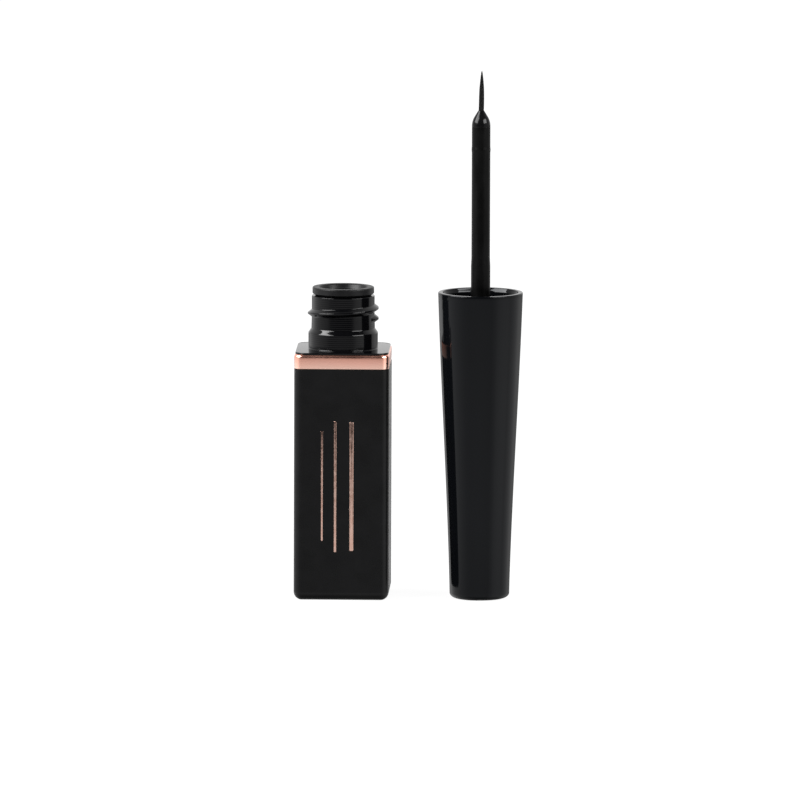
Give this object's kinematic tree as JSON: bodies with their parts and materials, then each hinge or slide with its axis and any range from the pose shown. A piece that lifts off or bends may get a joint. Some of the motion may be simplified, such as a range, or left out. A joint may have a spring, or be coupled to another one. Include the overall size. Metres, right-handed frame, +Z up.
{
  "type": "liquid eyeliner bottle",
  "caption": "Square liquid eyeliner bottle with a metal band and threaded neck, and its tapered screw cap stood beside it with stem and fine brush up.",
  "frame": {"origin": "middle of the bottle's base, on the ground", "axes": "+Z up along the bottle, +X towards the cap that stands beside it, -Y out of the bottle's front face"},
  "size_m": [0.0362, 0.0171, 0.0844],
  "materials": {
    "matte_black": "soft matte coating",
    "rose_gold": "metallised rose gold, glossy",
    "gloss_black": "gloss moulded plastic",
    "wiper_black": "satin moulded plastic",
    "liquid_black": "wet liquid",
    "cap_black": "gloss lacquer",
    "holder_grey": "moulded plastic",
    "washer_rubber": "soft foam",
    "stem_black": "dull moulded plastic",
    "nose_black": "glossy, wet",
    "bristle_black": "fine bristles"
  },
  "bodies": {
    "bottle": {"outer_sleeve": "matte_black", "gold_band": "rose_gold", "inner_vial": "gloss_black", "wiper": "wiper_black", "eyeliner_liquid": "liquid_black"},
    "cap": {"outer_cap": "cap_black", "stem_holder": "holder_grey", "sealing_washer": "washer_rubber", "applicator_stem": "stem_black", "brush_ferrule": "nose_black", "brush_tuft": "bristle_black"}
  },
  "joints": [
    {"name": "cap_lift", "type": "slide", "parent": "bottle", "child": "cap", "axis": [0, 0, 1], "range_m": [0, 0.09]}
  ]
}
